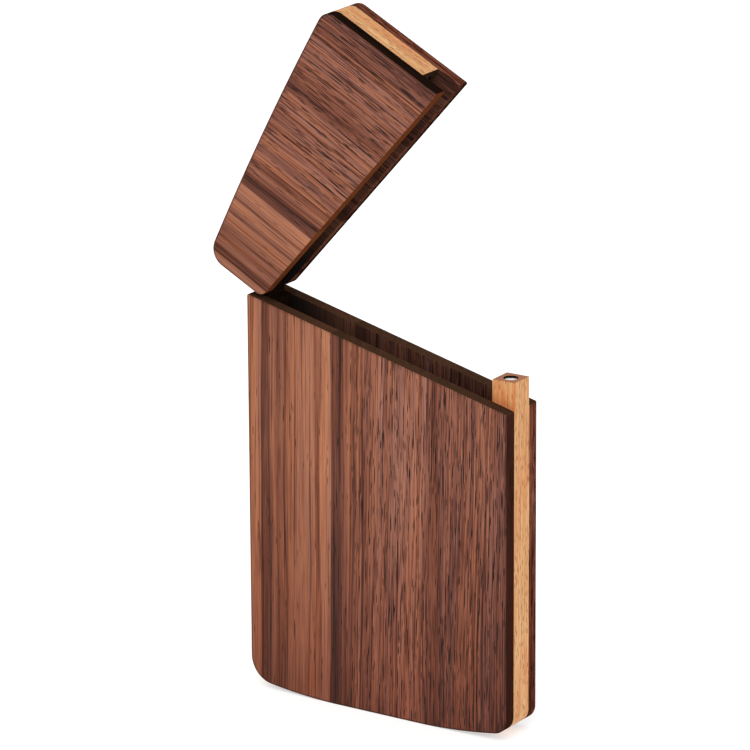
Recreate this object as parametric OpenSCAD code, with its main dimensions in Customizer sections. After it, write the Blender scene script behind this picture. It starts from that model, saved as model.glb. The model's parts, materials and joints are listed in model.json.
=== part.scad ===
// Wooden business card case with a swing lid.
// Two walnut panels sandwich a beech core. A slanted cut divides the case into a body and a lid.
// The lid turns on a pin in its left corner, and a pair of magnets holds it shut on the right.
// Every shape is drawn closed in the X-Z plane, and the lid is then swung open about the pin.
// Origin: middle of the small flat under the case. +X right, +Y to the back, +Z up.

/* [Case] */
// Width of the closed case
case_w = 66; // [64:0.5:72]
// Height of the closed case
case_h = 106.4; // [104:0.1:112]
// Thickness of each walnut panel
panel_t = 3; // [2.5:0.1:3.5]
// Thickness of the beech core, which is the depth of the card pocket
core_t = 6; // [5:0.1:8]
// Width of the beech rim around the pocket
rim_w = 5.5; // [5:0.1:6]

/* [Outline] */
// Width of the flat that the case stands on
foot_w = 24; // [22:1:28]
// Radius by which the bottom edge curves up on both sides of the flat
bottom_bow_r = 125; // [100:5:250]
// Radius of the bottom corner on the hinge side
bottom_hinge_corner_r = 6; // [4:0.5:8]
// Radius of the bottom corner on the latch side
bottom_latch_corner_r = 3.5; // [3:0.5:6]
// Radius of the bowed top edge
top_bow_r = 700; // [400:10:1000]
// Radius of the top corner on the hinge side
top_hinge_corner_r = 4; // [3:0.5:5]
// Radius of the top corner on the latch side
top_latch_corner_r = 3; // [2:0.5:5]
// Radius of the pocket's inner corners
pocket_corner_r = 1.5; // [1:0.1:2]

/* [Lid] */
// Height of the slanted cut at the left edge
cut_left_z = 89.8; // [89:0.1:90.5]
// Height of the slanted cut at the right edge
cut_right_z = 73.6; // [71:0.1:76]
// Gap between body and lid along the cut when closed
lid_gap = 0.2; // [0.15:0.05:0.25]
// Radius of the lid's corner below the pin
lid_corner_r = 2.3; // [2.2:0.1:2.4]
// Angle by which the lid stands open
lid_open = 62.3; // [0:0.1:104]

/* [Hinge] */
// Distance of the pin from the left edge
pin_inset = 2.3; // [2.2:0.1:2.4]
// Height of the pin
pin_z = 93; // [92.9:0.1:93.2]
// Diameter of the pin
pin_d = 1.5; // [1.2:0.1:1.6]
// Length of the pin
pin_l = 10; // [9:0.1:10.4]
// Radial clearance of the pin in the lid panels
pin_clearance = 0.05; // [0.02:0.01:0.08]
// Depth of the blind pin holes in the lid panels
pin_hole_depth = 2.2; // [2.2:0.1:2.4]
// Width of the tongue's neck, left of the pin
neck_left = 1.1; // [0.9:0.1:1.1]
// Width of the tongue's neck, right of the pin
neck_right = 1.4; // [1.2:0.1:1.8]
// Clearance around the tongue's round end
knuckle_clearance = 0.3; // [0.2:0.05:0.5]

/* [Latch] */
// Height of the latch post's top
post_top_z = 79.8; // [78:0.1:82]
// Thickness taken off each side of the post and the tongue above the cut
side_relief = 0.1; // [0.05:0.05:0.2]
// Diameter of each magnet
magnet_d = 3; // [2:0.1:3.5]
// Length of each magnet
magnet_l = 2; // [1.5:0.1:3]
// Depth of the magnet's face below the wood
magnet_recess = 0.3; // [0.1:0.05:0.5]
// Radial glue gap around each magnet
magnet_glue = 0.1; // [0.05:0.05:0.2]

/* [Hidden] */

$fn = 96;
bow_fn = 720;            // facets of a whole bow circle, of which only a short arc is used
reach = 200;             // longer than the case, for half-planes
walnut = [0.45, 0.28, 0.22];
beech = [0.88, 0.66, 0.44];
nickel = [0.85, 0.85, 0.83];
steel = [0.6, 0.6, 0.6];

half_w = case_w / 2;
pocket_half_w = half_w - rim_w;
case_t = core_t + 2 * panel_t;
thin_core_t = core_t - 2 * side_relief;
pin_x = pin_inset - half_w;
rail_end_z = post_top_z + lid_gap;
latch_x = half_w - rim_w / 2;

// The slanted cut: its fall to the right, its height at x, and the direction straight down from it.
cut_slope = atan2(cut_left_z - cut_right_z, case_w);
function cut_z(x) = cut_left_z - (x + half_w) * tan(cut_slope);
cut_down = [-sin(cut_slope), -cos(cut_slope)];

// Centres of the bow circles. The bottom has one on each side. Each is lowest inside the flat's
// end, where it reaches just below the flat and is cut by it.
bow_inset = 2;
bow_low_x = foot_w / 2 - bow_inset;
function bottom_bow_c(side) = [side * bow_low_x, sqrt(bottom_bow_r ^ 2 - bow_inset ^ 2)];
top_bow_c = [0, case_h - top_bow_r];

// Centre of a corner of radius r inside a bow, tangent to the bow and to the side of the case.
// up is 1 at the top and -1 at the bottom.
function corner_c(side, up, r, bow_c, bow_r) =
    let (x = side * (half_w - r))
    [x, bow_c.y + up * sqrt((bow_r - r) ^ 2 - (x - bow_c.x) ^ 2)];

// The lid's corner below the pin is rounded about a point near the pin, so that it clears the cut.
lid_corner_x = lid_corner_r - half_w;
lid_corner_z = cut_z(lid_corner_x) + (lid_gap + lid_corner_r) / cos(cut_slope);

function unit(v) = v / norm(v);

// ---- Outlines in the X-Z plane ----

// What a corner loses when it is rounded to radius r about c, between the directions u and v.
// The circle is drawn a trace larger, so that it crosses the edges instead of only touching them.
module corner_waste(c, r, u, v) {
    trace = 0.002;
    difference() {
        polygon([c, c + 2 * r * u, c + 2 * r * (u + v), c + 2 * r * v]);
        translate(c) circle(r + trace);
    }
}

// What a corner between the side and a bow loses.
module case_corner_waste(side, up, r, bow_c, bow_r) {
    c = corner_c(side, up, r, bow_c, bow_r);
    corner_waste(c, r, [side, 0], unit(c - bow_c));
}

module above_bottom_edge() {
    translate([-bow_low_x, -1]) square([2 * bow_low_x, case_h]);
    for (side = [-1, 1])
        translate(bottom_bow_c(side)) circle(bottom_bow_r, $fn = bow_fn);
}

module case_outline() {
    difference() {
        intersection() {
            translate([-half_w, 0]) square([case_w, case_h]);
            above_bottom_edge();
            translate(top_bow_c) circle(top_bow_r, $fn = bow_fn);
        }
        case_corner_waste(-1, -1, bottom_hinge_corner_r, bottom_bow_c(-1), bottom_bow_r);
        case_corner_waste(1, -1, bottom_latch_corner_r, bottom_bow_c(1), bottom_bow_r);
        case_corner_waste(-1, 1, top_hinge_corner_r, top_bow_c, top_bow_r);
        case_corner_waste(1, 1, top_latch_corner_r, top_bow_c, top_bow_r);
    }
}

// Everything below the cut, or above it with the gap.
module below_cut() {
    polygon([[-reach, -1], [reach, -1], [reach, cut_z(reach)], [-reach, cut_z(-reach)]]);
}

module above_cut() {
    gap_z = lid_gap / cos(cut_slope);
    polygon([[-reach, cut_z(-reach) + gap_z], [reach, cut_z(reach) + gap_z],
             [reach, reach], [-reach, reach]]);
}

module body_outline() {
    intersection() {
        case_outline();
        below_cut();
    }
}

module lid_outline() {
    difference() {
        intersection() {
            case_outline();
            above_cut();
        }
        corner_waste([lid_corner_x, lid_corner_z], lid_corner_r, [-1, 0], cut_down);
    }
}

module rounded_rectangle(low, high, r) {
    size = high - low;
    translate(low + [r, 0]) square([size.x - 2 * r, size.y]);
    translate(low + [0, r]) square([size.x, size.y - 2 * r]);
    for (x = [low.x + r, high.x - r], z = [low.y + r, high.y - r])
        translate([x, z]) circle(r);
}

// The beech rim as if it were one closed ring.
module rim_outline() {
    difference() {
        case_outline();
        rounded_rectangle([-pocket_half_w, rim_w], [pocket_half_w, case_h - rim_w], pocket_corner_r);
    }
}

// The latch post above the cut, with a root inside the rim below it.
module post_outline() {
    root_z = cut_right_z - rim_w;
    intersection() {
        rim_outline();
        translate([pocket_half_w, root_z]) square([rim_w, post_top_z - root_z]);
    }
}

// The hinge tongue: a round end about the pin on a neck that is rooted in the rim.
module tongue_outline() {
    root_z = cut_z(pin_x) - rim_w;
    translate([pin_x, pin_z]) circle(pin_inset);
    translate([pin_x - neck_left, root_z]) square([neck_left + neck_right, pin_z - root_z]);
}

// The rails of the lid: the ring above the tongue on the left and above the post on the right.
module lid_rail_outline() {
    left_end_z = pin_z + pin_inset + knuckle_clearance;
    difference() {
        rim_outline();
        translate([-reach, -1]) square([reach, left_end_z + 1]);
        translate([0, -1]) square([reach, rail_end_z + 1]);
    }
}

// ---- Solids ----

// A flat layer of thickness t, centred on depth y, from an outline in the X-Z plane.
module layer(t, y = 0) {
    translate([0, y, 0]) rotate([90, 0, 0]) linear_extrude(t, center = true) children();
}

// A cylinder along Y through the pin's axis.
module pin_cylinder(r, l) {
    translate([pin_x, 0, pin_z]) rotate([90, 0, 0]) cylinder(h = l, r = r, center = true);
}

// A magnet's pocket, mouth at z, going up or down into the wood.
module magnet_pocket(z, into) {
    depth = magnet_l + magnet_recess;
    overrun = 1;
    translate([latch_x, 0, z + into * (depth - overrun) / 2])
        cylinder(h = depth + overrun, d = magnet_d + 2 * magnet_glue, center = true);
}

// A magnet at the bottom of a pocket whose mouth is at z.
module magnet(z, into) {
    translate([latch_x, 0, z + into * (magnet_recess + magnet_l / 2)])
        cylinder(h = magnet_l, d = magnet_d, center = true);
}

// Swings what is drawn closed to where the lid stands.
module lid_swing() {
    translate([pin_x, 0, pin_z]) rotate([0, -lid_open, 0]) translate([-pin_x, 0, -pin_z]) children();
}

// ---- Body ----

module body_panel(y) {
    color(walnut) layer(panel_t, y) body_outline();
}

module body_front_panel() {
    body_panel(-(core_t + panel_t) / 2);
}

module body_back_panel() {
    body_panel((core_t + panel_t) / 2);
}

module body_frame() {
    color(beech) difference() {
        union() {
            layer(core_t) intersection() {
                rim_outline();
                below_cut();
            }
            layer(thin_core_t) post_outline();
            layer(thin_core_t) tongue_outline();
        }
        pin_cylinder(pin_d / 2, case_t);
        magnet_pocket(post_top_z, -1);
    }
}

module post_magnet() {
    color(nickel) magnet(post_top_z, -1);
}

module hinge_pin() {
    color(steel) pin_cylinder(pin_d / 2, pin_l);
}

// ---- Lid ----

module lid_panel(y) {
    color(walnut) lid_swing() difference() {
        layer(panel_t, y) lid_outline();
        pin_cylinder(pin_d / 2 + pin_clearance, core_t + 2 * pin_hole_depth);
    }
}

module lid_front_panel() {
    lid_panel(-(core_t + panel_t) / 2);
}

module lid_back_panel() {
    lid_panel((core_t + panel_t) / 2);
}

module lid_frame() {
    color(beech) lid_swing() difference() {
        layer(core_t) lid_rail_outline();
        magnet_pocket(rail_end_z, 1);
    }
}

module lid_magnet() {
    color(nickel) lid_swing() magnet(rail_end_z, 1);
}

body_front_panel();
body_back_panel();
body_frame();
post_magnet();
hinge_pin();
lid_front_panel();
lid_back_panel();
lid_frame();
lid_magnet();
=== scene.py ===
"""Looks of a wooden business card case with a swing lid: walnut panels on a beech core.

Every piece is drawn closed, in metres, in the frame's own axes: +X right, +Y to the back, +Z up.
The lid's pieces are then swung open about the hinge pin. Each mesh keeps its closed coordinates
in the attribute "grain", in millimetres, so that the grain runs on from the body into the lid.
"""

import json
import math

import bmesh
import bpy
from mathutils import Matrix, Vector


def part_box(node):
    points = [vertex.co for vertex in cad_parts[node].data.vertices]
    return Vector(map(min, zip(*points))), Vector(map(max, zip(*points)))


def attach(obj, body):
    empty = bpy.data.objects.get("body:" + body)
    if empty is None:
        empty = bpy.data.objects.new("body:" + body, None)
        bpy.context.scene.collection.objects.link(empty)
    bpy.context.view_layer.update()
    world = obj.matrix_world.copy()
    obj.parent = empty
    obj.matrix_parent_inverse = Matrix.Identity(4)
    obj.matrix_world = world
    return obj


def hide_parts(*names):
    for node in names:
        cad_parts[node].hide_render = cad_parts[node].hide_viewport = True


MM = 0.001

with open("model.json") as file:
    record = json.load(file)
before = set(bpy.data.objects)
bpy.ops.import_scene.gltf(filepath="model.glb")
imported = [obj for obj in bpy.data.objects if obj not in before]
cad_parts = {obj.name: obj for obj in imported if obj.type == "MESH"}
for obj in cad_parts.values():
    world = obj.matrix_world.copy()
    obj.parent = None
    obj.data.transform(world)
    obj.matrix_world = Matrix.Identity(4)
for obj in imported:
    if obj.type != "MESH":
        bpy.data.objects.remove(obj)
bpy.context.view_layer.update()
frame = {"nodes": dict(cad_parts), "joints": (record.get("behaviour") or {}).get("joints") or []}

# ---- Places from the frame ----

panel_low, panel_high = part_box("body_front_panel")
HALF_W = panel_high.x
PANEL_T = panel_high.y - panel_low.y
CORE_HALF_T = -panel_high.y
CUT_LEFT_Z = panel_high.z
CUT_RIGHT_Z = max(
    v.co.z for v in frame["nodes"]["body_front_panel"].data.vertices if v.co.x > HALF_W - 0.01 * MM
)
CUT_SLOPE = math.atan2(CUT_LEFT_Z - CUT_RIGHT_Z, 2 * HALF_W)
hinge = frame["joints"][0]
PIN = Vector(hinge["pos_m"])
LID_OPEN = math.radians(-hinge["range_deg"][0])
pin_low, pin_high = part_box("hinge_pin")
PIN_R = (pin_high.x - pin_low.x) / 2
magnet_low, magnet_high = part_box("post_magnet")
MAGNET_R = (magnet_high.x - magnet_low.x) / 2
MAGNET_L = magnet_high.z - magnet_low.z
LATCH_X = (magnet_low.x + magnet_high.x) / 2
RIM_W = 2 * (HALF_W - LATCH_X)

# ---- Sizes that the frame's boxes don't give ----

CASE_H = 106.4 * MM
FOOT_HALF_W = 12 * MM
BOTTOM_BOW_R = 125 * MM
BOW_INSET = 2 * MM
BOTTOM_HINGE_CORNER_R = 6 * MM
BOTTOM_LATCH_CORNER_R = 3.5 * MM
TOP_BOW_R = 700 * MM
TOP_HINGE_CORNER_R = 4 * MM
TOP_LATCH_CORNER_R = 3 * MM
POCKET_CORNER_R = 1.5 * MM
LID_GAP = 0.2 * MM
LID_CORNER_R = 2.3 * MM
POST_TOP_Z = 79.8 * MM
SIDE_RELIEF = 0.1 * MM
NECK_LEFT = 1.1 * MM
NECK_RIGHT = 1.4 * MM
KNUCKLE_CLEARANCE = 0.3 * MM
MAGNET_RECESS = 0.3 * MM
MAGNET_GLUE = 0.1 * MM
PIN_CLEARANCE = 0.05 * MM
PIN_HOLE_DEPTH = 2.2 * MM
PANEL_EDGE_R = 0.22 * MM
BORDER_W = 0.2 * MM
CORE_EDGE_R = 0.14 * MM
CUT_CORNER_R = 0.35 * MM

WELD_DISTANCE = 0.002 * MM
FLAT_WITHIN = math.radians(0.05)
SHARP_FROM = math.radians(32)
TURNED_SHARP_FROM = math.radians(30)


def cut_z(x):
    """Height of the slanted cut at x."""
    return CUT_LEFT_Z - (x + HALF_W) * math.tan(CUT_SLOPE)


# ---- Outlines, as lists of (x, z) that run anticlockwise as seen from the front ----


def arc(center, radius, start, end, steps):
    """Points on an arc from angle start to end, in degrees from +X towards +Z."""
    angles = [math.radians(start + (end - start) * i / steps) for i in range(steps + 1)]
    return [(center[0] + radius * math.cos(a), center[1] + radius * math.sin(a)) for a in angles]


def case_corner(side, up, radius, bow_center, bow_radius):
    """A corner's centre, and the direction in which it meets the bow, in degrees."""
    x = side * (HALF_W - radius)
    rise = up * math.sqrt((bow_radius - radius) ** 2 - (x - bow_center[0]) ** 2)
    return (x, bow_center[1] + rise), math.degrees(math.atan2(rise, x - bow_center[0])) % 360


def case_outline():
    """The closed case: a flat foot, two bows below, one bow on top and four round corners."""
    low_x = FOOT_HALF_W - BOW_INSET
    bow_z = math.sqrt(BOTTOM_BOW_R**2 - BOW_INSET**2)
    foot_angle = math.degrees(math.asin(BOW_INSET / BOTTOM_BOW_R))
    right_bow, left_bow, top_bow = (low_x, bow_z), (-low_x, bow_z), (0, CASE_H - TOP_BOW_R)
    right, right_angle = case_corner(1, -1, BOTTOM_LATCH_CORNER_R, right_bow, BOTTOM_BOW_R)
    top_right, top_right_angle = case_corner(1, 1, TOP_LATCH_CORNER_R, top_bow, TOP_BOW_R)
    top_left, top_left_angle = case_corner(-1, 1, TOP_HINGE_CORNER_R, top_bow, TOP_BOW_R)
    left, left_angle = case_corner(-1, -1, BOTTOM_HINGE_CORNER_R, left_bow, BOTTOM_BOW_R)
    return (
        arc(right_bow, BOTTOM_BOW_R, 270 + foot_angle, right_angle, 12)
        + arc(right, BOTTOM_LATCH_CORNER_R, right_angle, 360, 16)[1:]
        + arc(top_right, TOP_LATCH_CORNER_R, 0, top_right_angle, 16)
        + arc(top_bow, TOP_BOW_R, top_right_angle, top_left_angle, 20)[1:]
        + arc(top_left, TOP_HINGE_CORNER_R, top_left_angle, 180, 16)[1:]
        + arc(left, BOTTOM_HINGE_CORNER_R, 180, left_angle, 20)
        + arc(left_bow, BOTTOM_BOW_R, left_angle, 270 - foot_angle, 12)[1:]
    )


def clip(points, origin, normal):
    """The part of a convex outline on the side that normal points away from."""
    kept = []
    side = [(x - origin[0]) * normal[0] + (z - origin[1]) * normal[1] for x, z in points]
    for i, (x, z) in enumerate(points):
        px, pz = points[i - 1]
        if (side[i - 1] <= 0) != (side[i] <= 0):
            t = side[i - 1] / (side[i - 1] - side[i])
            kept.append((px + (x - px) * t, pz + (z - pz) * t))
        if side[i] <= 0:
            kept.append((x, z))
    return kept


def rounded(points, near, radius, steps=10):
    """The outline with its corner nearest to a point rounded. Both edges there are straight."""
    i = min(range(len(points)), key=lambda k: math.dist(points[k], near))
    corner = Vector(points[i])
    back = (Vector(points[i - 1]) - corner).normalized()
    ahead = (Vector(points[(i + 1) % len(points)]) - corner).normalized()
    half = back.angle(ahead) / 2
    center = corner + (back + ahead).normalized() * radius / math.sin(half)
    start = corner + back * radius / math.tan(half) - center
    end = corner + ahead * radius / math.tan(half) - center
    turn = start.angle_signed(end)
    first = math.degrees(math.atan2(start.y, start.x))
    return points[:i] + arc(center, radius, first, first - math.degrees(turn), steps) + points[i + 1 :]


def rectangle(low, high, radius=0.0):
    """A rectangle, with round corners if a radius is given."""
    (x0, z0), (x1, z1) = low, high
    if not radius:
        return [(x0, z0), (x1, z0), (x1, z1), (x0, z1)]
    corners = [(x1, z0, -90), (x1, z1, 0), (x0, z1, 90), (x0, z0, 180)]
    points = []
    for x, z, start in corners:
        center = (x + radius * (1 if x == x0 else -1), z + radius * (1 if z == z0 else -1))
        points += arc(center, radius, start, start + 90, 10)
    return points


CUT_UP = (math.sin(CUT_SLOPE), math.cos(CUT_SLOPE))


def body_outline():
    """What the case has below the cut, with its two sharp corners just eased."""
    points = clip(case_outline(), (-HALF_W, CUT_LEFT_Z), CUT_UP)
    points = rounded(points, (-HALF_W, CUT_LEFT_Z), CUT_CORNER_R, 4)
    return rounded(points, (HALF_W, CUT_RIGHT_Z), CUT_CORNER_R, 4)


def lid_outline():
    """What the case has above the cut, rounded below the pin so that it can swing."""
    rise = LID_GAP / math.cos(CUT_SLOPE)
    down = (-CUT_UP[0], -CUT_UP[1])
    points = clip(case_outline(), (-HALF_W, CUT_LEFT_Z + rise), down)
    points = rounded(points, (-HALF_W, CUT_LEFT_Z + rise), LID_CORNER_R, 16)
    return rounded(points, (HALF_W, CUT_RIGHT_Z + rise), CUT_CORNER_R, 4)


# ---- Solids ----


def new_object(name, mesh):
    piece = bpy.data.objects.new(name, mesh)
    bpy.context.scene.collection.objects.link(piece)
    return piece


def prism(name, points, y0, y1):
    """An outline in the X-Z plane, drawn out from depth y0 to y1."""
    mesh = bpy.data.meshes.new(name)
    shape = bmesh.new()
    front = [shape.verts.new((x, y0, z)) for x, z in points]
    back = [shape.verts.new((x, y1, z)) for x, z in points]
    shape.faces.new(front)
    shape.faces.new(list(reversed(back)))
    for i in range(len(points)):
        shape.faces.new((front[i], front[i - 1], back[i - 1], back[i]))
    bmesh.ops.recalc_face_normals(shape, faces=shape.faces)
    shape.to_mesh(mesh)
    shape.free()
    return new_object(name, mesh)


def lathe(name, profile, place, steps=64):
    """A profile of (radius, height) turned about +Z and then moved by the matrix place."""
    mesh = bpy.data.meshes.new(name)
    shape = bmesh.new()
    rings = []
    for radius, height in profile:
        if radius == 0:
            rings.append([shape.verts.new((0, 0, height))])
            continue
        turn = [2 * math.pi * i / steps for i in range(steps)]
        rings.append([shape.verts.new((radius * math.cos(a), radius * math.sin(a), height)) for a in turn])
    for lower, upper in zip(rings, rings[1:]):
        for i in range(steps):
            j = (i + 1) % steps
            low, high = len(lower), len(upper)
            corners = [lower[i % low], lower[j % low], upper[j % high], upper[i % high]]
            shape.faces.new(list(dict.fromkeys(corners)))
    bmesh.ops.recalc_face_normals(shape, faces=shape.faces)
    shape.transform(place)
    shape.to_mesh(mesh)
    shape.free()
    return new_object(name, mesh)


def evaluated_mesh(piece):
    graph = bpy.context.evaluated_depsgraph_get()
    return bpy.data.meshes.new_from_object(piece.evaluated_get(graph), depsgraph=graph)


def apply_modifiers(piece):
    mesh = evaluated_mesh(piece)
    piece.modifiers.clear()
    piece.data = mesh
    return piece


def combine(piece, operation, *others):
    """piece with the other solids joined to it (UNION) or cut out of it (DIFFERENCE)."""
    for other in others:
        step = piece.modifiers.new("combine", "BOOLEAN")
        step.operation = operation
        step.solver = "EXACT"
        step.object = other
        apply_modifiers(piece)
        bpy.data.objects.remove(other)
    return piece


def ease_edges(piece, radius):
    """Rounds every sharp edge by a small radius, or by less where small features leave no room."""
    weld = piece.modifiers.new("weld", "WELD")
    weld.merge_threshold = WELD_DISTANCE
    # Edges that a cut leaves inside a flat face would tear the rounding open.
    flatten = piece.modifiers.new("flatten", "DECIMATE")
    flatten.decimate_type = "DISSOLVE"
    flatten.angle_limit = FLAT_WITHIN
    bevel = piece.modifiers.new("bevel", "BEVEL")
    bevel.width = radius
    bevel.segments = 3
    bevel.limit_method = "ANGLE"
    bevel.angle_limit = SHARP_FROM
    bevel.use_clamp_overlap = True
    bevel.harden_normals = True
    for face in piece.data.polygons:
        face.use_smooth = True
    return apply_modifiers(piece)


def along_y(x, z, y=0.0):
    """Puts a lathed solid's axis along +Y through (x, z)."""
    return Matrix.Translation((x, y, z)) @ Matrix.Rotation(math.radians(-90), 4, "X")


def plain_cylinder(radius, low, high):
    return [(0, low), (radius, low), (radius, high), (0, high)]


def turned_pin(radius, low, high, chamfer, dish=0.0):
    """A cylinder's profile with chamfered ends and, if asked, a slight dish in them."""
    rim = radius - chamfer
    return [
        (0, low + dish),
        (rim * 0.8, low + dish),
        (rim, low),
        (radius, low + chamfer),
        (radius, high - chamfer),
        (rim, high),
        (rim * 0.8, high - dish),
        (0, high - dish),
    ]


SWING = (
    Matrix.Translation(PIN) @ Matrix.Rotation(-LID_OPEN, 4, "Y") @ Matrix.Translation(-PIN)
)


def finish_turned(piece, material):
    """Gives a lathed piece its material, smooth round faces and sharp rims."""
    piece.data.materials.append(material)
    piece.data.shade_smooth()
    piece.data.set_sharp_from_angle(angle=TURNED_SHARP_FROM)


def set_grain(piece):
    """Keeps where each point is on the closed case, in millimetres, for the materials."""
    grain = piece.data.attributes.new("grain", "FLOAT_VECTOR", "POINT")
    for point, vertex in zip(grain.data, piece.data.vertices):
        point.vector = vertex.co / MM


def place(piece, node, slot, body):
    """Hands a finished piece over to its body in place of its CAD node."""
    set_grain(piece)
    if body == "lid":
        piece.data.transform(SWING)
    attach(piece, body)
    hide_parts(node)


# ---- Materials ----


class Graph:
    """A material's node tree, with short calls for the nodes used here."""

    def __init__(self, name):
        self.material = bpy.data.materials.new(name)
        self.material.use_nodes = True
        self.tree = self.material.node_tree
        self.shader = self.tree.nodes["Principled BSDF"]

    def node(self, kind, inputs=(), **settings):
        made = self.tree.nodes.new(kind)
        for key, value in settings.items():
            setattr(made, key, value)
        for key, value in dict(inputs).items():
            self.feed(made.inputs[key], value)
        return made

    def feed(self, socket, value):
        if isinstance(value, bpy.types.NodeSocket):
            self.tree.links.new(value, socket)
        else:
            socket.default_value = value

    def math(self, operation, a, b=0.0, clamp=False):
        return self.node("ShaderNodeMath", {0: a, 1: b}, operation=operation, use_clamp=clamp).outputs[0]

    def scaled(self, value, low, high, new_low=0.0, new_high=1.0):
        """value brought from low..high to new_low..new_high, softly and within those limits."""
        inputs = {"Value": value, "From Min": low, "From Max": high, "To Min": new_low, "To Max": new_high}
        return self.node("ShaderNodeMapRange", inputs, interpolation_type="SMOOTHSTEP").outputs["Result"]

    def vector(self, x, y, z):
        return self.node("ShaderNodeCombineXYZ", {0: x, 1: y, 2: z}).outputs[0]

    def stretched(self, parts, across, along, shift=0.0):
        """Coordinates with `across` cells a millimetre over the grain and `along` cells along it."""
        x, y, z = parts
        return self.vector(
            self.math("MULTIPLY", self.math("ADD", x, shift), across),
            self.math("MULTIPLY", y, across),
            self.math("MULTIPLY", z, along),
        )

    def noise(self, vector, detail=2.0, roughness=0.5):
        inputs = {"Vector": vector, "Scale": 1.0, "Detail": detail, "Roughness": roughness}
        return self.node("ShaderNodeTexNoise", inputs).outputs["Fac"]

    def cells(self, vector):
        """Distance to the nearest cell centre, and a random number for each cell."""
        made = self.node("ShaderNodeTexVoronoi", {"Vector": vector, "Scale": 1.0})
        random = self.node("ShaderNodeSeparateColor", {0: made.outputs["Color"]}).outputs[0]
        return made.outputs["Distance"], random

    def mix(self, factor, a, b, blend="MIX"):
        made = self.node("ShaderNodeMix", data_type="RGBA", blend_type=blend)
        self.feed(made.inputs[0], factor)
        self.feed(made.inputs[6], a)
        self.feed(made.inputs[7], b)
        return made.outputs[2]

    def tinted(self, color, red, green, blue):
        return self.mix(1.0, color, (red, green, blue, 1), "MULTIPLY")

    def ramp(self, factor, stops):
        made = self.node("ShaderNodeValToRGB", {"Fac": factor})
        elements = made.color_ramp.elements
        elements[0].position, elements[0].color = stops[0]
        elements[1].position, elements[1].color = stops[-1]
        for position, color in stops[1:-1]:
            elements.new(position).color = color
        return made.outputs["Color"]

    def with_stain_and_painted_light(self, color, stain_and_painted_light, amount, parts):
        """Mixes a colour in, the wood's own staining on some materials and painted shade and highlights on
        others, by a number or by a fade (axis, start, end, amount there, amount here).
        """
        if isinstance(amount, tuple):
            axis, *fade = amount
            amount = self.scaled(parts[axis], *fade)
        return self.mix(amount, color, stain_and_painted_light)

    def bump(self, height, depth):
        made = self.node("ShaderNodeBump", {"Height": height, "Strength": 1.0, "Distance": depth})
        self.feed(self.shader.inputs["Normal"], made.outputs["Normal"])


def rgb(red, green, blue):
    """A linear colour from sRGB values of 0 to 255."""

    def linear(c):
        c /= 255
        return c / 12.92 if c <= 0.04045 else ((c + 0.055) / 1.055) ** 2.4

    return (linear(red), linear(green), linear(blue), 1.0)


# What the walnut looks like at each tone, from its black pores to its palest bands.
WALNUT_TONES = [
    (0.10, rgb(28, 11, 7)),
    (0.26, rgb(60, 29, 20)),
    (0.40, rgb(93, 50, 37)),
    (0.50, rgb(118, 68, 51)),
    (0.60, rgb(142, 88, 67)),
    (0.70, rgb(166, 107, 80)),
    (0.85, rgb(197, 137, 106)),
]

# Bands of tone across the walnut, by distance from the left edge in millimetres.
BANDS = [
    (0, 0.72), (2.8, 0.72), (3.3, 0.62), (3.8, 0.48), (5.3, 0.53), (5.9, 0.66), (6.9, 0.66),
    (7.4, 0.54), (7.9, 0.56), (8.6, 0.62), (11, 0.67), (14, 0.70), (17, 0.71), (19, 0.75),
    (21.0, 0.75), (21.35, 0.46), (22.3, 0.49), (23.4, 0.45), (24.3, 0.59), (25.8, 0.68),
    (26.8, 0.57), (28.4, 0.72), (30.3, 0.60), (32.5, 0.71), (35.2, 0.65), (38.5, 0.71),
    (45.0, 0.71), (46.6, 0.60), (48.9, 0.56), (50.8, 0.64), (60, 0.67), (66, 0.58),
]


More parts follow.
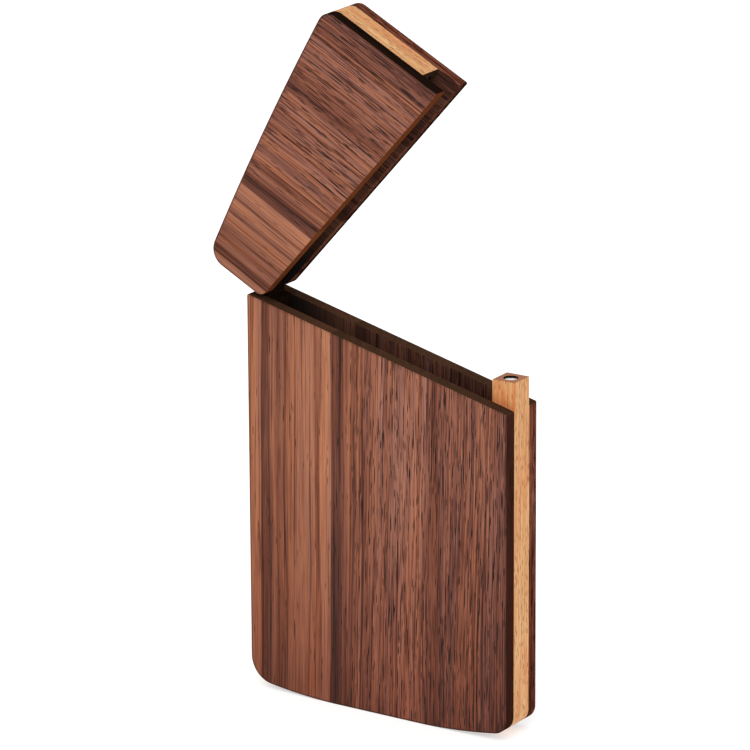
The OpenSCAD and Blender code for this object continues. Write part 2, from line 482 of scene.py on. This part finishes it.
def walnut(name, shift=0.0, stain_and_painted_light=None, amount=0.0, polish=0.15):
    """Walnut with bands, streaks and long dark pores. shift moves the grain to the right, in mm."""
    g = Graph(name)
    place = g.node("ShaderNodeAttribute", attribute_name="grain").outputs["Vector"]
    x, y, z = g.node("ShaderNodeSeparateXYZ", {0: place}).outputs
    # The grain leans a little to the right on its way up, and wanders.
    lean = g.math("MULTIPLY", g.math("SUBTRACT", z, 41), -0.015)
    slow = g.noise(g.stretched((x, y, z), 0.06, 0.014), detail=1)
    drift = g.math("MULTIPLY", g.math("SUBTRACT", slow, 0.5), 2.2)
    across = g.math("ADD", g.math("ADD", x, lean), g.math("ADD", drift, -shift))
    parts = (across, y, z)
    wave = g.noise(g.stretched(parts, 0.9, 0.035), detail=3)
    ripple = g.math("MULTIPLY", g.math("SUBTRACT", wave, 0.5), 1.2)
    from_left = g.math("ADD", g.math("ADD", across, ripple), HALF_W / MM)
    width = 2 * HALF_W / MM
    bands = g.ramp(g.math("DIVIDE", from_left, width), [(mm / width, (t, t, t, 1)) for mm, t in BANDS])
    tone = g.node("ShaderNodeSeparateColor", {0: bands}).outputs[0]

    # Right of the middle the wood is finer, with many more pores and some dark patches.
    figured = g.scaled(across, -14, 4)

    def darken(tone, amount, left, right):
        """Takes a layer off the tone, left and right being its depth on the two sides."""
        gain = g.math("ADD", left, g.math("MULTIPLY", figured, right - left))
        return g.math("SUBTRACT", tone, g.math("MULTIPLY", amount, gain))

    def streaks(cells_across, cells_along, shift, low, high, detail=2):
        noise = g.noise(g.stretched(parts, cells_across, cells_along, shift), detail, 0.6)
        return g.scaled(noise, low, high)

    def dashes(cells_across, cells_along, shift, share_left, share_right):
        """Single dark dashes with pointed ends, in a share of the cells."""
        distance, random = g.cells(g.stretched(parts, cells_across, cells_along, shift))
        share = g.math("ADD", share_left, g.math("MULTIPLY", figured, share_right - share_left))
        return g.math("MULTIPLY", g.scaled(distance, 0.26, 0.17), g.math("LESS_THAN", random, share))

    # The boards are darker towards their lower end, which is painted shade, and redder there; a little
    # darker on top, and cloudy.
    low = g.math("MAXIMUM", g.math("DIVIDE", g.math("SUBTRACT", 72, z), 72), 0)
    low = g.math("POWER", low, 1.8)
    near_top = g.scaled(z, 78, 96, 0.032, 0.060)
    tone = g.math("SUBTRACT", tone, g.math("ADD", g.math("MULTIPLY", low, 0.15), near_top))
    cloud = g.noise(g.stretched(parts, 0.13, 0.035, 5), 2)
    tone = g.math("ADD", tone, g.math("MULTIPLY", g.math("SUBTRACT", cloud, 0.5), 0.12))
    tone = darken(tone, streaks(1.0, 0.008, 7, 0.56, 0.62), 0.15, 0.12)
    tone = darken(tone, streaks(2.2, 0.012, 61, 0.57, 0.63), 0.12, 0.12)
    tone = darken(tone, streaks(0.5, 0.05, 53, 0.58, 0.68), 0.05, 0.13)
    tone = darken(tone, streaks(3.2, 0.03, 31, 0.52, 0.60, 3), 0.08, 0.14)
    tone = darken(tone, streaks(5.5, 0.07, 43, 0.53, 0.60), 0.05, 0.15)
    tone = darken(tone, dashes(2.0, 0.10, 11, 0.08, 0.80), 0.36, 0.74)
    tone = darken(tone, dashes(3.0, 0.22, 17, 0.14, 0.85), 0.32, 0.66)
    tone = darken(tone, dashes(2.6, 0.045, 29, 0.12, 0.50), 0.26, 0.58)
    fibres = g.math("SUBTRACT", g.noise(g.stretched(parts, 5, 0.12, 3), 2), 0.5)
    fibre_depth = g.math("ADD", 0.24, g.math("MULTIPLY", figured, 0.08))
    tone = g.math("ADD", tone, g.math("MULTIPLY", fibres, fibre_depth))

    color = g.ramp(tone, WALNUT_TONES)
    hue = g.noise(g.stretched(parts, 0.7, 0.012, 71), 2)
    cool, warm = g.tinted(color, 0.94, 0.99, 1.09), g.tinted(color, 1.06, 1.0, 0.87)
    color = g.mix(g.scaled(hue, 0.4, 0.6), cool, warm)
    color = g.mix(figured, g.tinted(color, 1.0, 1.0, 0.93), g.tinted(color, 0.98, 1.0, 1.06))
    # The lower end's redder tint: the wood's own colour, plus painted shade in the darkening it brings.
    color = g.mix(g.math("MINIMUM", low, 1), color, g.tinted(color, 1.04, 0.92, 0.82))
    if stain_and_painted_light:
        color = g.with_stain_and_painted_light(color, stain_and_painted_light, amount, (x, y, z))
    g.feed(g.shader.inputs["Base Color"], color)
    g.feed(g.shader.inputs["Roughness"], g.scaled(tone, 0.2, 0.7, 0.62, 0.46))
    g.shader.inputs["Specular IOR Level"].default_value = polish
    g.bump(tone, 0.05 * MM)
    return g.material


def beech(name, stain_and_painted_light=None, amount=0.0, polish=0.15, along_x=False):
    """Beech: pale orange, with short dark flecks and soft growth bands. A rail's grain lies along X."""
    g = Graph(name)
    place = g.node("ShaderNodeAttribute", attribute_name="grain").outputs["Vector"]
    parts = tuple(g.node("ShaderNodeSeparateXYZ", {0: place}).outputs)
    if along_x:
        parts = parts[::-1]
    bands = g.noise(g.stretched(parts, 0.7, 0.02, 5), detail=2)
    color = g.mix(g.scaled(bands, 0.35, 0.65), rgb(206, 144, 90), rgb(213, 162, 108))
    warm = g.noise(g.stretched(parts, 0.5, 0.04, 29), detail=2)
    color = g.mix(g.scaled(warm, 0.45, 0.65, 0, 0.75), color, rgb(208, 132, 80))
    streaks = g.noise(g.stretched(parts, 2.6, 0.06, 13), detail=3, roughness=0.6)
    color = g.mix(g.scaled(streaks, 0.52, 0.62, 0, 0.6), color, rgb(170, 112, 70))
    pale = g.noise(g.stretched(parts, 2.2, 0.07, 37), detail=2)
    color = g.mix(g.scaled(pale, 0.52, 0.64, 0, 0.7), color, rgb(225, 186, 130))
    distance, random = g.cells(g.stretched(parts, 2.2, 0.42, 19))
    flecks = g.math("MULTIPLY", g.scaled(distance, 0.36, 0.2), g.math("LESS_THAN", random, 0.7))
    color = g.mix(g.math("MULTIPLY", flecks, 0.85), color, rgb(150, 88, 44))
    fibres = g.noise(g.stretched(parts, 12, 0.9, 3), detail=2)
    color = g.mix(g.scaled(fibres, 0.4, 0.65, 0, 0.25), color, rgb(150, 100, 64))
    if stain_and_painted_light:
        color = g.with_stain_and_painted_light(color, stain_and_painted_light, amount, parts)
    g.feed(g.shader.inputs["Base Color"], color)
    g.feed(g.shader.inputs["Roughness"], g.scaled(streaks, 0.3, 0.7, 0.45, 0.55))
    g.shader.inputs["Specular IOR Level"].default_value = polish
    g.bump(g.math("SUBTRACT", g.math("MULTIPLY", fibres, 0.4), g.math("MULTIPLY", flecks, 0.6)), 0.02 * MM)
    return g.material


def metal(name, color, roughness, scratch):
    """A turned metal with faint scratches in its polish."""
    g = Graph(name)
    place = g.node("ShaderNodeAttribute", attribute_name="grain").outputs["Vector"]

    def spread(x, y, z):
        """Coordinates with that many cells a millimetre along each axis."""
        inputs = {0: place, 1: (x, y, z)}
        return g.node("ShaderNodeVectorMath", inputs, operation="MULTIPLY").outputs[0]

    haze = g.noise(spread(1.5, 1.5, 1.5))
    marks = g.noise(spread(30, 4, 30), detail=3)
    dimmed = tuple(0.86 * c for c in color[:3]) + (1.0,)
    g.feed(g.shader.inputs["Base Color"], g.mix(g.scaled(haze, 0.3, 0.7), color, dimmed))
    g.feed(g.shader.inputs["Roughness"], g.scaled(marks, 0.3, 0.7, roughness, roughness + scratch))
    g.shader.inputs["Metallic"].default_value = 1.0
    g.bump(marks, 0.002 * MM)
    return g.material


# ---- Pieces ----


def dress_panel(piece, side, cut_side, materials):
    """Gives a panel its outer, edge, cut and inner materials by where each face points."""
    for material in materials:
        piece.data.materials.append(material)
    cut_normal = Vector((CUT_UP[0], 0, CUT_UP[1])) * cut_side
    for polygon in piece.data.polygons:
        if abs(polygon.normal.y) > 0.95:
            polygon.material_index = 0 if polygon.normal.y * side > 0 else 3
        elif polygon.normal.dot(cut_normal) > 0.25:
            polygon.material_index = 2
        else:
            polygon.material_index = 1


def dark_border(piece, side, material):
    """Gives the outer face a narrow darker border, except along the slanted cut."""
    slot = len(piece.data.materials)
    piece.data.materials.append(material)
    mesh = bmesh.new()
    mesh.from_mesh(piece.data)
    outer = [face for face in mesh.faces if face.normal.y * side > 0.99 and face.calc_area() > 100 * MM**2]
    made = bmesh.ops.inset_region(mesh, faces=outer, thickness=BORDER_W, use_even_offset=True)
    for face in made["faces"]:
        middle = face.calc_center_median()
        if abs(middle.z - cut_z(middle.x)) > MM:
            face.material_index = slot
    mesh.to_mesh(piece.data)
    mesh.free()


def body_panel(name, node, side, materials, border):
    inner, outer = CORE_HALF_T * side, (CORE_HALF_T + PANEL_T) * side
    piece = ease_edges(prism(name, body_outline(), inner, outer), PANEL_EDGE_R)
    dress_panel(piece, side, 1, materials)
    dark_border(piece, side, border)
    place(piece, node, "walnut", "case_body")


def lid_panel(name, node, side, materials, border):
    inner, outer = CORE_HALF_T * side, (CORE_HALF_T + PANEL_T) * side
    piece = prism(name, lid_outline(), inner, outer)
    hole_end = (CORE_HALF_T + PIN_HOLE_DEPTH) * side
    low, high = sorted((0, hole_end))
    hole = lathe("hole", plain_cylinder(PIN_R + PIN_CLEARANCE, low, high), along_y(PIN.x, PIN.z))
    combine(piece, "DIFFERENCE", hole)
    ease_edges(piece, PANEL_EDGE_R)
    dress_panel(piece, side, -1, materials)
    dark_border(piece, side, border)
    place(piece, node, "walnut", "lid")


def pocket():
    """The space inside the rim, as a solid to cut away."""
    low = (RIM_W - HALF_W, RIM_W)
    high = (HALF_W - RIM_W, CASE_H - RIM_W)
    return prism("pocket", rectangle(low, high, POCKET_CORNER_R), -2 * CORE_HALF_T, 2 * CORE_HALF_T)


def magnet_hole(mouth_z, into):
    """A round pocket for a magnet, from just outside its mouth into the wood."""
    ends = sorted((mouth_z - into * MM, mouth_z + into * (MAGNET_RECESS + MAGNET_L)))
    profile = plain_cylinder(MAGNET_R + MAGNET_GLUE, *ends)
    return lathe("magnet_hole", profile, Matrix.Translation((LATCH_X, 0, 0)))


# Kinds of core face: the dark kind and the lid's end over the post are painted shade, the latch side's
# arris is a painted highlight, and the post's front is partly painted shade.
CORE_SIDE, CORE_FRONT, CORE_END, CORE_PAINTED_SHADE, CORE_PAINTED_HIGHLIGHT, CORE_RAIL, CORE_LID_END_SHADE = range(7)


def dress_core(piece, materials, kind):
    """Gives each face of a core the material that kind, a function of its centre and normal, picks."""
    for material in materials:
        piece.data.materials.append(material)
    for polygon in piece.data.polygons:
        polygon.material_index = kind(polygon.center, polygon.normal)


def in_magnet_hole(center, normal):
    """Whether a face of a core is the wall or the floor of a magnet's pocket."""
    near = math.hypot(center.x - LATCH_X, center.y) < MAGNET_R + MAGNET_GLUE + CORE_EDGE_R
    return near and abs(center.z - POST_TOP_Z) < 2 * MAGNET_L and abs(normal.z) < 0.95


def is_arris(center, normal):
    """Whether a face is part of a rounded edge on the latch side's outer rim."""
    return center.x > HALF_W - MM and 0.3 < abs(normal.y) < 0.95


def body_core_kind(center, normal):
    """The body's core gets near-black painted shade round the hinge, inside the spine, in the magnet's
    pocket and on its broad faces below the cut; its post's end is reddish, its post's front partly painted
    shade, and its latch-side arris a painted highlight.
    """
    above_cut = center.z > cut_z(center.x) - 0.2 * MM
    if in_magnet_hole(center, normal):
        return CORE_PAINTED_SHADE
    if center.x < 0 and (above_cut or normal.x > 0.5):
        return CORE_PAINTED_SHADE
    if center.x > 0 and normal.z > 0.7 and center.z > POST_TOP_Z - MM:
        return CORE_END
    if is_arris(center, normal):
        return CORE_PAINTED_HIGHLIGHT
    if abs(normal.y) > 0.95:
        return CORE_FRONT if above_cut else CORE_PAINTED_SHADE
    return CORE_RAIL if abs(normal.z) > 0.7 else CORE_SIDE


def lid_core_kind(center, normal):
    """The lid's core gets near-black painted shade where it faces the pocket, the post and the hinge, and
    on its end over the post.
    """
    to_middle = normal.x if center.x < 0 else -normal.x
    if in_magnet_hole(center, normal):
        return CORE_PAINTED_SHADE
    if normal.z < -0.5 and center.x > HALF_W - RIM_W:
        return CORE_LID_END_SHADE
    if normal.z < -0.5 or to_middle > 0.5 or abs(normal.y) > 0.95:
        return CORE_PAINTED_SHADE
    if is_arris(center, normal):
        return CORE_PAINTED_HIGHLIGHT
    return CORE_RAIL if normal.z > 0.7 else CORE_SIDE


def body_core(materials):
    """The U of spine, bottom rail and latch post, with the hinge tongue."""
    thin = CORE_HALF_T - SIDE_RELIEF
    piece = prism("body_core", body_outline(), -CORE_HALF_T, CORE_HALF_T)
    combine(piece, "DIFFERENCE", pocket())
    post_low = (HALF_W - RIM_W, CUT_RIGHT_Z - RIM_W)
    post = prism("post", rectangle(post_low, (HALF_W, POST_TOP_Z)), -thin, thin)
    neck_low = (PIN.x - NECK_LEFT, cut_z(PIN.x) - RIM_W / 2)
    neck = prism("neck", rectangle(neck_low, (PIN.x + NECK_RIGHT, PIN.z)), -thin, thin)
    knuckle_r = PIN.x + HALF_W
    knuckle = lathe("knuckle", plain_cylinder(knuckle_r, -thin, thin), along_y(PIN.x, PIN.z), 96)
    combine(piece, "UNION", post, neck, knuckle)
    combine(piece, "DIFFERENCE", magnet_hole(POST_TOP_Z, -1))
    ease_edges(piece, CORE_EDGE_R)
    # The pin's hole keeps its sharp rims: it is cut last, so that they don't hold the rounding back.
    pin_hole = lathe("pin_hole", plain_cylinder(PIN_R, -2 * thin, 2 * thin), along_y(PIN.x, PIN.z))
    combine(piece, "DIFFERENCE", pin_hole)
    dress_core(piece, materials, body_core_kind)
    place(piece, "body_frame", "beech", "case_body")


def lid_core(materials):
    """The top rail of the lid, with its short left rail and its right rail."""
    piece = prism("lid_core", lid_outline(), -CORE_HALF_T, CORE_HALF_T)
    combine(piece, "DIFFERENCE", pocket())
    knuckle_r = PIN.x + HALF_W
    left_end_z = PIN.z + knuckle_r + KNUCKLE_CLEARANCE
    right_end_z = POST_TOP_Z + LID_GAP
    depth = 2 * CORE_HALF_T
    left = prism("left", rectangle((-2 * HALF_W, 0), (-HALF_W / 2, left_end_z)), -depth, depth)
    right = prism("right", rectangle((HALF_W / 2, 0), (2 * HALF_W, right_end_z)), -depth, depth)
    combine(piece, "DIFFERENCE", left, right, magnet_hole(right_end_z, 1))
    ease_edges(piece, CORE_EDGE_R)
    dress_core(piece, materials, lid_core_kind)
    place(piece, "lid_frame", "beech", "lid")


def magnet(name, node, mouth_z, into, body, material):
    """A plated disc with a chamfered rim, at the bottom of its pocket."""
    ends = sorted((mouth_z + into * MAGNET_RECESS, mouth_z + into * (MAGNET_RECESS + MAGNET_L)))
    profile = turned_pin(MAGNET_R, *ends, 0.06 * MM)
    piece = lathe(name, profile, Matrix.Translation((LATCH_X, 0, 0)))
    finish_turned(piece, material)
    place(piece, node, "nickel", body)


def hinge_rod(material):
    profile = turned_pin(PIN_R, pin_low.y, pin_high.y, 0.15 * MM)
    piece = lathe("hinge_rod", profile, along_y(PIN.x, PIN.z), 48)
    finish_turned(piece, material)
    place(piece, "hinge_pin", "steel", "case_body")


def make_case():
    face, lid_face = walnut("walnut_face"), walnut("walnut_lid_face", shift=-2.2)
    matte = 0.0
    border = walnut("walnut_border", stain_and_painted_light=rgb(44, 20, 14), amount=0.7)
    edge = walnut("walnut_edge", stain_and_painted_light=rgb(46, 25, 19), amount=0.9, polish=matte)
    # The lid's edges are darker than the body's: the boards' dark edge colour with painted shade added.
    shaded_lid_edge = walnut("walnut_shaded_lid_edge", stain_and_painted_light=rgb(16, 11, 8), amount=0.95, polish=matte)
    back_edge = walnut("walnut_back_edge", shift=-3, polish=matte)
    cut = walnut("walnut_cut", stain_and_painted_light=rgb(56, 40, 28), amount=0.9, polish=matte)
    lid_cut = walnut("walnut_lid_cut", stain_and_painted_light=rgb(89, 45, 19), amount=0.9, polish=matte)
    # Across the back board the lid's cut darkens outwards. The inner faces are painted shade, darkest
    # towards the hinge.
    outwards, shade_to_hinge = (1, 3.6, 5.2, 0.6, 0.97), (0, -5, -28, 0.65, 0.99)
    lid_back_cut = walnut("walnut_lid_back_cut", stain_and_painted_light=rgb(22, 5, 2), amount=outwards, polish=matte)
    inside = walnut("walnut_inside_painted_shade", stain_and_painted_light=rgb(29, 26, 25), amount=shade_to_hinge, polish=matte)
    body_panel("front_board", "body_front_panel", -1, (face, edge, cut, inside), border)
    body_panel("back_board", "body_back_panel", 1, (face, back_edge, cut, inside), border)
    lid_panel("lid_front_board", "lid_front_panel", -1, (lid_face, shaded_lid_edge, lid_cut, inside), border)
    lid_panel("lid_back_board", "lid_back_panel", 1, (lid_face, back_edge, lid_back_cut, inside), border)
    core = (
        beech("beech"),
        # The post's front turns orange and darker towards the cut: partly the wood's own colour, partly
        # painted shade.
        beech("beech_post_front", stain_and_painted_light=rgb(206, 100, 42), amount=(2, 80, 71, 0.05, 0.7)),
        beech("beech_end_grain", stain_and_painted_light=rgb(136, 74, 46), amount=0.75),
        # Near-black painted shade for faces of the core that lie in shadow.
        beech("beech_painted_shade", stain_and_painted_light=rgb(3, 2, 2), amount=0.985, polish=matte),
        # A painted highlight along the latch side's rounded outer edges.
        beech("beech_arris_painted_highlight", stain_and_painted_light=rgb(240, 196, 140), amount=0.6),
        beech("beech_rail", along_x=True),
        # Painted shade on the lid rail's end face over the post.
        beech("beech_lid_end_painted_shade", stain_and_painted_light=rgb(20, 11, 9), amount=0.96, polish=matte),
    )
    body_core(core)
    lid_core(core)
    nickel = metal("nickel", (1.0, 0.99, 0.97, 1.0), 0.14, 0.1)
    magnet("post_disc", "post_magnet", POST_TOP_Z, -1, "case_body", nickel)
    # The lid's disc is nickel darkened as painted shade, for its place on the rail's end.
    nickel_painted_shade = metal("nickel_painted_shade", (0.06, 0.055, 0.05, 1.0), 0.5, 0.1)
    magnet("lid_disc", "lid_magnet", POST_TOP_Z + LID_GAP, 1, "lid", nickel_painted_shade)
    hinge_rod(metal("steel", (0.55, 0.55, 0.56, 1.0), 0.28, 0.15))


# ---- Studio ----

CAMERA_TARGET = Vector((-4.0, 0, 74.7)) * MM
CAMERA_DISTANCE = 1152.8 * MM
CAMERA_AZIMUTH = math.radians(33.48)
CAMERA_ELEVATION = math.radians(17.29)
CAMERA_ROLL = math.radians(-0.33)
CAMERA_LENS = 258.6


def add_camera():
    back = Vector(
        (
            math.sin(CAMERA_AZIMUTH) * math.cos(CAMERA_ELEVATION),
            -math.cos(CAMERA_AZIMUTH) * math.cos(CAMERA_ELEVATION),
            math.sin(CAMERA_ELEVATION),
        )
    )
    right = Vector((math.cos(CAMERA_AZIMUTH), math.sin(CAMERA_AZIMUTH), 0))
    turned = Matrix((right, back.cross(right), back)).transposed() @ Matrix.Rotation(CAMERA_ROLL, 3, "Z")
    data = bpy.data.cameras.new("camera")
    data.lens = CAMERA_LENS
    data.clip_start = 0.05
    data.clip_end = 20
    camera = bpy.data.objects.new("camera", data)
    camera.matrix_world = Matrix.Translation(CAMERA_TARGET + back * CAMERA_DISTANCE) @ turned.to_4x4()
    bpy.context.scene.collection.objects.link(camera)
    bpy.context.scene.camera = camera


def add_floor():
    size = 4.0
    mesh = bpy.data.meshes.new("floor")
    mesh.from_pydata(
        [(-size, -size, 0), (size, -size, 0), (size, size, 0), (-size, size, 0)], [], [(0, 1, 2, 3)]
    )
    floor = new_object("floor", mesh)
    g = Graph("floor")
    g.shader.inputs["Base Color"].default_value = (0.6, 0.6, 0.6, 1)
    g.shader.inputs["Emission Color"].default_value = (1, 1, 1, 1)
    g.shader.inputs["Emission Strength"].default_value = 0.55
    g.shader.inputs["Roughness"].default_value = 0.9
    g.shader.inputs["Specular IOR Level"].default_value = 0.1
    floor.data.materials.append(g.material)


def add_sun(name, azimuth, elevation, softness, strength):
    """A soft sun that shines from the given direction, in degrees from the front and the floor."""
    data = bpy.data.lights.new(name, "SUN")
    data.angle = math.radians(softness)
    data.energy = strength
    a, e = math.radians(azimuth), math.radians(elevation)
    direction = Vector((math.sin(a) * math.cos(e), -math.cos(a) * math.cos(e), math.sin(e)))
    lamp = bpy.data.objects.new(name, data)
    lamp.location = CAMERA_TARGET + direction
    lamp.rotation_euler = direction.to_track_quat("Z", "Y").to_euler()
    bpy.context.scene.collection.objects.link(lamp)


def add_studio():
    world = bpy.data.worlds.new("studio")
    world.use_nodes = True
    background = world.node_tree.nodes["Background"]
    background.inputs["Color"].default_value = (1, 1, 1, 1)
    background.inputs["Strength"].default_value = 0.85
    bpy.context.scene.world = world
    add_floor()
    add_sun("key", 25, 50, 40, 0.9)
    add_sun("fill", 65, 30, 60, 0.2)
    bpy.context.scene.view_settings.view_transform = "Standard"


make_case()
add_camera()
add_studio()
